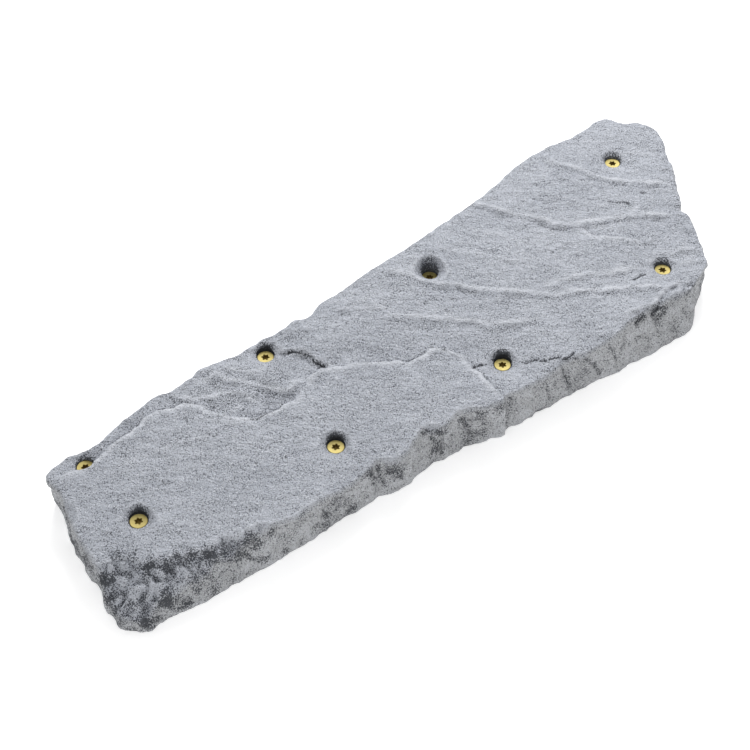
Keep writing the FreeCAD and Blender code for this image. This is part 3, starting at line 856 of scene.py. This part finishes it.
def screw_profile(settings, low, high):
    """Rows of a screw's surface: radius, height, how far the row takes the thread's ridge,
    and how far it takes the star's outline."""
    shank, head, star = settings.shank_radius, settings.head_radius, settings.star_radius
    rows = []
    thread_top = low + settings.thread_length
    for z in np.linspace(low, thread_top, settings.thread_rows):
        taper = smooth((z - low) / settings.point_length) ** 0.8
        start = smooth((z - low - THREAD_START) / settings.point_length)
        end = smooth((thread_top - z) / settings.thread_pitch)
        rows.append((POINT_RADIUS + (shank - POINT_RADIUS) * taper, z, min(start, end), 0.0))
    seat = high - settings.head_rim
    cone = seat - (head - shank)
    rows.append((shank, cone - 0.8 * MM, 0.0, 0.0))
    for t in np.linspace(0.0, 1.0, 7):
        rows.append((shank + (head - shank) * t, cone + (seat - cone) * t, 0.0, 0.0))
    for sweep in np.linspace(0.25, 1.0, 5) * math.pi / 2:
        rows.append((head - HEAD_EASE * (1 - math.cos(sweep)),
                     high - HEAD_EASE * (1 - math.sin(sweep)) - 0.02 * MM, 0.0, 0.0))
    for t in (0.12, 0.3, 0.5, 0.7, 0.85):
        dish = HEAD_DISH * math.sin(t * math.pi / 2)
        rows.append((head * (1 - t) + star * t, high - dish, 0.0, smooth(t)))
    top = high - HEAD_DISH
    rows.append((star + 0.18 * MM, top, 0.0, 1.0))
    rows.append((star + 0.04 * MM, top - 0.1 * MM, 0.0, 1.0))
    mouth = top - SOCKET_MOUTH
    for t in np.linspace(0.0, 1.0, 6):
        rows.append((star - SOCKET_TAPER * t, mouth - t * settings.socket_depth, 0.0, 1.0))
    floor = mouth - settings.socket_depth
    for t in (0.35, 0.7, 0.97):
        rows.append((star * (1 - t), floor - 0.5 * MM * t, 0.0, 1.0 - t))
    return np.array(rows, float)


def build_screw(settings, low, high, turn):
    """One screw as a single surface, and the share of each point that is inside its socket.

    A profile is carried round the axis. Its radius is the row's own, plus the thread's ridge
    where the height less the helix's rise at that angle is near a whole number of pitches,
    times the six-lobed star (1 plus a share of the cosine of six times the angle, squared
    off by that of twelve times it) on the socket's rows."""
    centre = ((low.x + high.x) / 2, (low.y + high.y) / 2)
    rows = screw_profile(settings, low.z, high.z)
    sides = settings.screw_sides
    angle = np.linspace(0.0, 2 * math.pi, sides, endpoint=False)[None, :]
    radius, z, thread, star = (rows[:, k:k + 1] for k in range(4))
    phase = (z - low.z) / settings.thread_pitch - angle / (2 * math.pi)
    off = np.abs(phase - np.round(phase)) * settings.thread_pitch
    ridge = np.clip((THREAD_FOOT - off) / (THREAD_FOOT - THREAD_CREST), 0.0, 1.0)
    radius = radius + thread * ridge * (settings.thread_radius - settings.shank_radius)
    radius = radius * (1.0 + star * (0.165 * np.cos(6 * angle) - 0.02 * np.cos(12 * angle) - 0.12))
    theta = angle + math.radians(turn)
    x = centre[0] + radius * np.cos(theta)
    y = centre[1] + radius * np.sin(theta)
    points = np.stack([x, y, np.broadcast_to(z, x.shape)], -1).reshape(-1, 3)
    socket = (star > 0.0) & (z < high.z - 0.2 * MM)
    return points, capped_tube(len(rows), sides), np.repeat(socket.astype(float), sides)


# ---------------------------------------------------------------------------------------
# Materials
# ---------------------------------------------------------------------------------------
# The turn of a pattern that is stretched with the beds.
WITH_BEDS = math.radians(-45.0)


class Nodes:
    """A short way to add and join a material's nodes."""

    def __init__(self, name):
        """Start a new material of that name."""
        self.material = bpy.data.materials.new(name)
        self.material.use_nodes = True
        self.tree = self.material.node_tree
        self.shader = self.tree.nodes["Principled BSDF"]

    def add(self, kind, **settings):
        """A new node with the given settings."""
        node = self.tree.nodes.new(kind)
        for key, value in settings.items():
            setattr(node, key, value)
        return node

    def join(self, output, socket):
        """A link from an output to an input."""
        self.tree.links.new(output, socket)

    def object_place(self, stretch=1.0, turn=0.0):
        """Places on the object, with patterns stretched along X and then turned."""
        place = self.add("ShaderNodeTexCoord")
        mapping = self.add("ShaderNodeMapping", vector_type="TEXTURE")
        mapping.inputs["Scale"].default_value = (stretch, 1.0, 1.0)
        mapping.inputs["Rotation"].default_value = (0.0, 0.0, turn)
        self.join(place.outputs["Object"], mapping.inputs["Vector"])
        return mapping.outputs["Vector"]

    def constant(self, name, value):
        """A constant value on one of the shader's own sockets."""
        self.shader.inputs[name].default_value = value

    def noise(self, place, scale, detail, rough):
        """Noise from 0 to 1, with scale cells a metre."""
        node = self.add("ShaderNodeTexNoise")
        node.inputs["Scale"].default_value = scale
        node.inputs["Detail"].default_value = detail
        node.inputs["Roughness"].default_value = rough
        self.join(place, node.inputs["Vector"])
        return node.outputs["Fac"]

    def number(self, name):
        """The mesh's own number of that name."""
        return self.add("ShaderNodeAttribute", attribute_name=name).outputs["Fac"]

    def calc(self, operation, first, second):
        """Arithmetic on two outputs or numbers."""
        node = self.add("ShaderNodeMath", operation=operation)
        for socket, value in zip(node.inputs, (first, second)):
            if isinstance(value, (int, float)):
                socket.default_value = value
            else:
                self.join(value, socket)
        return node.outputs["Value"]

    def between(self, value, low, high, to_low=0.0, to_high=1.0):
        """A smooth passage from to_low to to_high as the value goes from low to high."""
        node = self.add("ShaderNodeMapRange", interpolation_type="SMOOTHSTEP")
        self.join(value, node.inputs["Value"])
        for name, number in (("From Min", low), ("From Max", high),
                             ("To Min", to_low), ("To Max", to_high)):
            node.inputs[name].default_value = number
        return node.outputs["Result"]

    def mix(self, factor, first, second):
        """A blend of two colours, each an output or a constant."""
        node = self.add("ShaderNodeMix", data_type="RGBA")
        self.join(factor, node.inputs["Factor"])
        for socket, value in ((node.inputs["A"], first), (node.inputs["B"], second)):
            if hasattr(value, "is_output"):
                self.join(value, socket)
            else:
                socket.default_value = (*value, 1.0)
        return node.outputs["Result"]

    def bump(self, height, distance, strength):
        """Bump on the shader's normal."""
        node = self.add("ShaderNodeBump")
        node.inputs["Distance"].default_value = distance
        node.inputs["Strength"].default_value = strength
        self.join(height, node.inputs["Height"])
        self.join(node.outputs["Normal"], self.shader.inputs["Normal"])


def rock_material(settings):
    """Sand-cast resin: pale blue-grey grains salted with black ones, the black crowding in the
    hollows and on the wall (black wash plus painted shade), bed edges paler with wear plus
    painted highlight, and a greyer wall."""
    m = Nodes("cast_rock")
    place = m.object_place()
    wash_and_shade, flank, wear_and_highlight = m.number("wash_and_shade"), m.number("flank"), m.number("wear_and_highlight")
    fine = m.noise(place, 1180.0, 2.0, 0.62)
    light = m.noise(place, 1400.0, 2.0, 0.6)
    cloud = m.noise(place, 24.0, 3.0, 0.55)
    drift = m.noise(m.object_place(1.5, WITH_BEDS), 120.0, 3.0, 0.6)
    ripple = m.noise(m.object_place(1.25, WITH_BEDS), 520.0, 2.0, 0.6)
    wave = m.noise(m.object_place(1.5, WITH_BEDS), 200.0, 2.0, 0.5)

    colour = m.mix(m.between(cloud, 0.3, 0.7), settings.rock_colour, settings.rock_pale)
    colour = m.mix(m.calc("MULTIPLY", flank, 0.8), colour, settings.wall_colour)
    colour = m.mix(m.between(light, 0.52, 0.66, 0.0, 0.85), colour, settings.grain_light)
    # Paler edges: wear plus painted highlight.
    colour = m.mix(m.calc("MULTIPLY", wear_and_highlight, 0.6), colour, settings.wear_and_highlight_colour)

    # Each of these raises or lowers the share of black grains: the dark share raises it for black
    # wash and painted shade, the pale share lowers it for wear and painted highlight.
    crowd = m.calc("MINIMUM", m.calc("MULTIPLY", wash_and_shade, 0.24), 0.115)
    crowd = m.calc("ADD", crowd, m.between(wash_and_shade, 0.75, 1.1, 0.0, 0.12))
    crowd = m.calc("ADD", crowd, m.between(drift, 0.38, 0.70, 0.0, 0.055))
    crowd = m.calc("ADD", crowd, m.calc("MULTIPLY", flank, 0.018))
    crowd = m.calc("SUBTRACT", crowd, m.calc("MULTIPLY", wear_and_highlight, 0.07))
    dark = m.between(m.calc("ADD", fine, crowd), 0.563, 0.655, 0.0, 0.93)
    colour = m.mix(dark, colour, settings.speck_colour)
    # Near-black where the dark share is highest: black spray plus painted shade in the pockets and
    # cracks.
    colour = m.mix(m.between(wash_and_shade, 1.1, 1.5, 0.0, 0.85), colour, settings.wash_and_shade_colour)

    m.join(colour, m.shader.inputs["Base Color"])
    m.constant("Roughness", 0.92)
    m.constant("Specular IOR Level", 0.2)
    height = m.calc("ADD", m.calc("MULTIPLY", fine, -0.6), m.calc("MULTIPLY", ripple, 1.3))
    height = m.calc("ADD", height, m.calc("MULTIPLY", wave, 1.3))
    m.bump(height, settings.grain_depth, 1.0)
    return m.material


def satin_metal(m, cloud, colour, metallic, smoothest, roughest, grain, grain_depth):
    """Finish a metal: a clouded roughness and a fine bump; returns its material."""
    m.join(colour, m.shader.inputs["Base Color"])
    m.constant("Metallic", metallic)
    m.join(m.between(cloud, 0.3, 0.7, smoothest, roughest), m.shader.inputs["Roughness"])
    m.bump(m.noise(m.object_place(), grain, 2.0, 0.6), grain_depth, 0.5)
    return m.material


def zinc_material(settings):
    """Yellow-passivated zinc plate: warm satin metal with faint clouding, darker in the
    socket."""
    m = Nodes("screw_yellow_zinc")
    cloud = m.noise(m.object_place(), 420.0, 3.0, 0.6)
    colour = m.mix(m.between(cloud, 0.3, 0.75), settings.zinc_colour, settings.zinc_pale)
    socket = m.between(m.number("socket"), 0.2, 0.8, 0.0, 0.85)
    colour = m.mix(socket, colour, settings.socket_colour)
    return satin_metal(m, cloud, colour, 0.8, 0.50, 0.62, 2600.0, 0.00006)


def washer_material(settings):
    """Steel seat washer, coloured near black; it shows as the dark gap round each head."""
    m = Nodes("washer_blackened")
    cloud = m.noise(m.object_place(), 700.0, 3.0, 0.6)
    colour = m.mix(m.between(cloud, 0.3, 0.7), settings.washer_colour, settings.washer_pale)
    return satin_metal(m, cloud, colour, 0.6, 0.45, 0.65, 1800.0, 0.00008)


def floor_material(settings):
    """Plain pale studio floor with a faint glow."""
    m = Nodes("studio_floor")
    tone = m.noise(m.object_place(), 3.0, 2.0, 0.5)
    darker = tuple(value * 0.99 for value in settings.floor_colour)
    m.join(m.mix(tone, settings.floor_colour, darker), m.shader.inputs["Base Color"])
    m.constant("Roughness", 0.9)
    m.constant("Specular IOR Level", 0.1)
    m.constant("Emission Color", (1.0, 1.0, 1.0, 1.0))
    m.constant("Emission Strength", settings.floor_glow)
    return m.material


# ---------------------------------------------------------------------------------------
# Settings
# ---------------------------------------------------------------------------------------


def number_property(name, description, default):
    """A plain number in the sidebar."""
    return bpy.props.FloatProperty(name=name, description=description, default=default)


def count_property(name, description, default):
    """A whole number in the sidebar."""
    return bpy.props.IntProperty(name=name, description=description, default=default)


def place_property(name, description, default):
    """A place in space in the sidebar."""
    return bpy.props.FloatVectorProperty(name=name, description=description, default=default,
                                         subtype="TRANSLATION", unit="LENGTH", size=3)


def length_property(name, description, default):
    """A length in the sidebar."""
    return bpy.props.FloatProperty(name=name, description=description, default=default,
                                   subtype="DISTANCE", unit="LENGTH")


def colour_property(name, description, default):
    """A colour in the sidebar."""
    return bpy.props.FloatVectorProperty(name=name, description=description, default=default,
                                         subtype="COLOR", size=3, min=0.0, max=1.0)


class RockPanelSettings(bpy.types.PropertyGroup):
    columns: count_property("Columns", "Grid cells along the face", 432)
    rows: count_property("Rows", "Grid cells across the face", 132)
    wall_rows: count_property("Wall rows", "Grid cells down the wall", 24)
    rim_round: length_property("Rim rounding", "Radius worn on the rim", 0.0022)
    outline_rough: length_property("Outline roughness", "Noise in the outline", 0.0005)
    hole_radius: length_property("Hole radius", "Clearance hole's radius", 0.00325)
    pocket_radius: length_property("Pocket radius", "Screw pocket's radius", 0.0066)
    grain_depth: length_property("Grain depth", "Depth of the sandy grain", 0.0018)
    rock_colour: colour_property("Rock", "Body of the cast rock", (0.412, 0.434, 0.488))
    rock_pale: colour_property("Pale rock", "Paler clouds in the body", (0.469, 0.491, 0.546))
    wall_colour: colour_property("Wall", "Greyer wall tone", (0.464, 0.469, 0.476))
    grain_light: colour_property("Light grain", "Pale grains", (0.74, 0.76, 0.80))
    # Pale edges: wear plus painted highlight.
    wear_and_highlight_colour: colour_property("Worn edge", "Pale worn bed edges", (0.68, 0.70, 0.75))
    speck_colour: colour_property("Dark grain", "Black grains", (0.05, 0.054, 0.062))
    # Near-black for the black spray plus painted shade in the pockets and cracks.
    wash_and_shade_colour: colour_property("Wash", "Black wash in the pockets", (0.02, 0.021, 0.024))


class ScrewSettings(bpy.types.PropertyGroup):
    head_radius: length_property("Head radius", "Radius of the head", 0.0059)
    head_rim: length_property("Head rim", "Height of the head's edge", 0.0007)
    shank_radius: length_property("Shank radius", "Radius of the plain shank", 0.00215)
    thread_radius: length_property("Thread radius", "Outer radius of the thread", 0.003)
    thread_pitch: length_property("Thread pitch", "Rise of one turn", 0.0036)
    thread_length: length_property("Thread length", "Length from the point", 0.033)
    point_length: length_property("Point length", "Length of the point", 0.007)
    star_radius: length_property("Star radius", "Reach of the socket's lobes", 0.0028)
    socket_depth: length_property("Socket depth", "Depth of the star socket", 0.0026)
    thread_rows: count_property("Thread rows", "Grid rows up the thread", 160)
    screw_sides: count_property("Sides", "Grid columns round a screw", 72)
    zinc_colour: colour_property("Zinc", "Yellow zinc plate", (0.36, 0.295, 0.105))
    zinc_pale: colour_property("Pale zinc", "Paler cloud in the plate", (0.46, 0.39, 0.16))
    socket_colour: colour_property("Socket", "Shadowed plate in the socket", (0.25, 0.17, 0.045))
    washer_colour: colour_property("Washer", "Blackened steel", (0.035, 0.035, 0.038))
    washer_pale: colour_property("Pale washer", "Paler cloud in it", (0.10, 0.10, 0.105))


class StageSettings(bpy.types.PropertyGroup):
    floor_half: length_property("Floor", "Half the floor's side", 12.0)
    azimuth: number_property("Azimuth", "Camera's turn about the panel, in degrees", -42.0)
    elevation: number_property("Elevation", "Camera's height angle, in degrees", 47.4)
    distance: length_property("Distance", "Camera to the aim point", 1.062)
    aim: place_property("Aim", "Point in the middle of the picture", (-0.0508, 0.009, 0.025))
    lens: number_property("Lens", "Focal length in millimetres", 72.0)
    floor_colour: colour_property("Floor", "Pale floor", (0.93, 0.93, 0.93))
    floor_glow: number_property("Floor glow", "Light table glow of the floor", 0.4)
    key_size: length_property("Key size", "Width of the key light's disk", 0.9)
    key_place: place_property("Key place", "Where the key light hangs", (0.80, 0.88, 0.95))
    key_power: number_property("Key light", "Power of the key light in watts", 19.0)
    world_strength: number_property("Ambient", "Strength of the even studio light", 0.74)


# ---------------------------------------------------------------------------------------
# Operators
# ---------------------------------------------------------------------------------------


class ROCKPANEL_OT_rock(bpy.types.Operator):
    """Build the rock casting and cut its screw pockets"""
    bl_idname = "rockpanel.rock"
    bl_label = "Rock casting"

    def execute(self, context):
        settings = context.scene.rock_panel
        points, faces, shares = build_rock(settings)
        rock = new_piece("rock_casting", points, faces)
        for name, values in shares.items():
            set_attribute(rock.data, name, values)
        cut_pockets(rock, settings)
        shade(rock.data, math.radians(62.0))
        blacken_and_shade_pockets(rock.data, settings)
        rock.data.materials.append(rock_material(settings))
        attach(rock, "panel")
        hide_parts("rock_panel")
        return {"FINISHED"}


class ROCKPANEL_OT_screws(bpy.types.Operator):
    """Build the eight screws with their helical threads and star sockets"""
    bl_idname = "rockpanel.screws"
    bl_label = "Screws"

    def execute(self, context):
        settings = context.scene.rock_screws
        zinc = zinc_material(settings)
        for number in range(1, SCREW_COUNT + 1):
            node = "screw_%d" % number
            low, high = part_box(node)
            points, faces, socket = build_screw(settings, low, high, STAR_TURNS[number - 1])
            screw = new_piece("wood_screw_%d" % number, points, faces, math.radians(40.0))
            set_attribute(screw.data, "socket", socket)
            screw.data.materials.append(zinc)
            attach(screw, node)
            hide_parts(node)
        return {"FINISHED"}


class ROCKPANEL_OT_washers(bpy.types.Operator):
    """Give the seat washers their blackened steel"""
    bl_idname = "rockpanel.washers"
    bl_label = "Seat washers"

    def execute(self, context):
        steel = washer_material(context.scene.rock_screws)
        for number in range(1, SCREW_COUNT + 1):
            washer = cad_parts["seat_washer_%d" % number]
            washer.data.materials.clear()
            washer.data.materials.append(steel)
        return {"FINISHED"}


class ROCKPANEL_OT_stage(bpy.types.Operator):
    """Lay the pale floor, set the studio light and place the camera"""
    bl_idname = "rockpanel.stage"
    bl_label = "Stage"

    def execute(self, context):
        settings = context.scene.rock_stage
        scene = context.scene
        half = settings.floor_half
        corners = [(-half, -half, 0.0), (half, -half, 0.0), (half, half, 0.0), (-half, half, 0.0)]
        floor = new_piece("studio_floor", corners, [(0, 1, 2, 3)])
        floor.data.materials.append(floor_material(settings))

        world = bpy.data.worlds.new("studio")
        world.use_nodes = True
        background = world.node_tree.nodes["Background"]
        background.inputs["Color"].default_value = (1.0, 1.0, 1.0, 1.0)
        background.inputs["Strength"].default_value = settings.world_strength
        scene.world = world

        key = bpy.data.lights.new("key_light", "AREA")
        key.shape = "DISK"
        key.size = settings.key_size
        key.energy = settings.key_power
        lamp = bpy.data.objects.new("key_light", key)
        scene.collection.objects.link(lamp)
        lamp.location = settings.key_place
        lamp.rotation_mode = "QUATERNION"
        lamp.rotation_quaternion = (-lamp.location).to_track_quat("-Z", "Y")

        turn, rise = math.radians(settings.azimuth), math.radians(settings.elevation)
        back = Vector((math.sin(turn) * math.cos(rise), -math.cos(turn) * math.cos(rise),
                       math.sin(rise)))
        camera = bpy.data.objects.new("camera", bpy.data.cameras.new("camera"))
        camera.data.lens = settings.lens
        camera.data.sensor_width = 36.0
        camera.location = Vector(settings.aim) + back * settings.distance
        camera.rotation_mode = "QUATERNION"
        camera.rotation_quaternion = (-back).to_track_quat("-Z", "Y")
        scene.collection.objects.link(camera)
        scene.camera = camera
        scene.view_settings.view_transform = "Standard"
        return {"FINISHED"}


class ROCKPANEL_PT_sidebar(bpy.types.Panel):
    """The operators, each with its settings below it"""
    bl_idname = "ROCKPANEL_PT_sidebar"
    bl_label = "Rock Panel"
    bl_space_type = "VIEW_3D"
    bl_region_type = "UI"
    bl_category = "Rock Panel"

    def draw(self, context):
        for operator, group in (("rockpanel.rock", "rock_panel"),
                                ("rockpanel.screws", "rock_screws"),
                                ("rockpanel.washers", None),
                                ("rockpanel.stage", "rock_stage")):
            box = self.layout.box()
            box.operator(operator)
            if group:
                settings = getattr(context.scene, group)
                for name in settings.__annotations__:
                    box.prop(settings, name)


CLASSES = (RockPanelSettings, ScrewSettings, StageSettings, ROCKPANEL_OT_rock,
           ROCKPANEL_OT_screws, ROCKPANEL_OT_washers, ROCKPANEL_OT_stage, ROCKPANEL_PT_sidebar)
GROUPS = (("rock_panel", RockPanelSettings), ("rock_screws", ScrewSettings),
          ("rock_stage", StageSettings))


def register():
    """Add the classes and each group of settings to the scene."""
    for item in CLASSES:
        bpy.utils.register_class(item)
    for name, group in GROUPS:
        setattr(bpy.types.Scene, name, bpy.props.PointerProperty(type=group))


def unregister():
    """Take away what register adds."""
    for name, _group in GROUPS:
        delattr(bpy.types.Scene, name)
    for item in reversed(CLASSES):
        bpy.utils.unregister_class(item)


def main():
    """Build the stage and every piece."""
    register()
    bpy.ops.rockpanel.stage()
    bpy.ops.rockpanel.rock()
    bpy.ops.rockpanel.screws()
    bpy.ops.rockpanel.washers()


if __name__ == "__main__":
    main()
